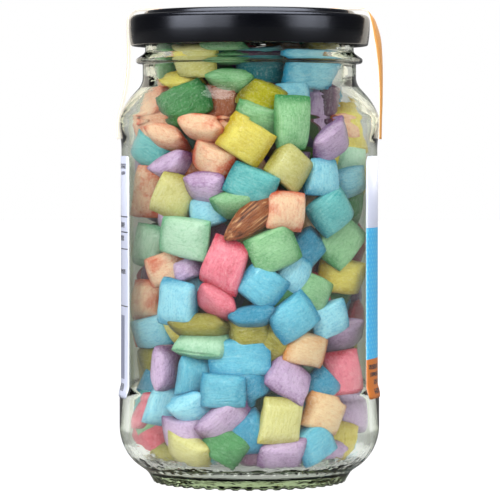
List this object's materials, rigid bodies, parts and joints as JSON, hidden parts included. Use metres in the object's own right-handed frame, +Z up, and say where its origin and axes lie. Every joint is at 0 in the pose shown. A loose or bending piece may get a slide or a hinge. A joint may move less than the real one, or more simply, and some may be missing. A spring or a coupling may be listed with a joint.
{
  "type": "jar of rock candy",
  "caption": "Shut clear glass jar with a black twist-off lid, a wraparound label and a paper strip over the lid, filled with pastel pillow-shaped hard candies.",
  "frame": {"origin": "middle of the foot ring, on the surface the jar stands on", "axes": "+Z up along the jar's axis, -Y towards the front where the label's two ends leave the glass clear, +X to the viewer's right"},
  "size_m": [0.0732, 0.0718, 0.13],
  "materials": {
    "glass": "clear, faintly green in its edges, smooth",
    "lid_lacquer": "black gloss lacquer on tinplate",
    "label_paper": "coated paper with a slight sheen",
    "strip_paper": "thin orange paper",
    "hard_candy": "satin boiled sugar in pastel colours",
    "almond_skin": "brown, wrinkled, faintly glossy skin"
  },
  "bodies": {
    "root": {"jar": "glass", "lid": "lid_lacquer", "label": "label_paper", "seal_strip": "strip_paper", "candy_heap": "hard_candy", "almond": "almond_skin"}
  },
  "joints": []
}
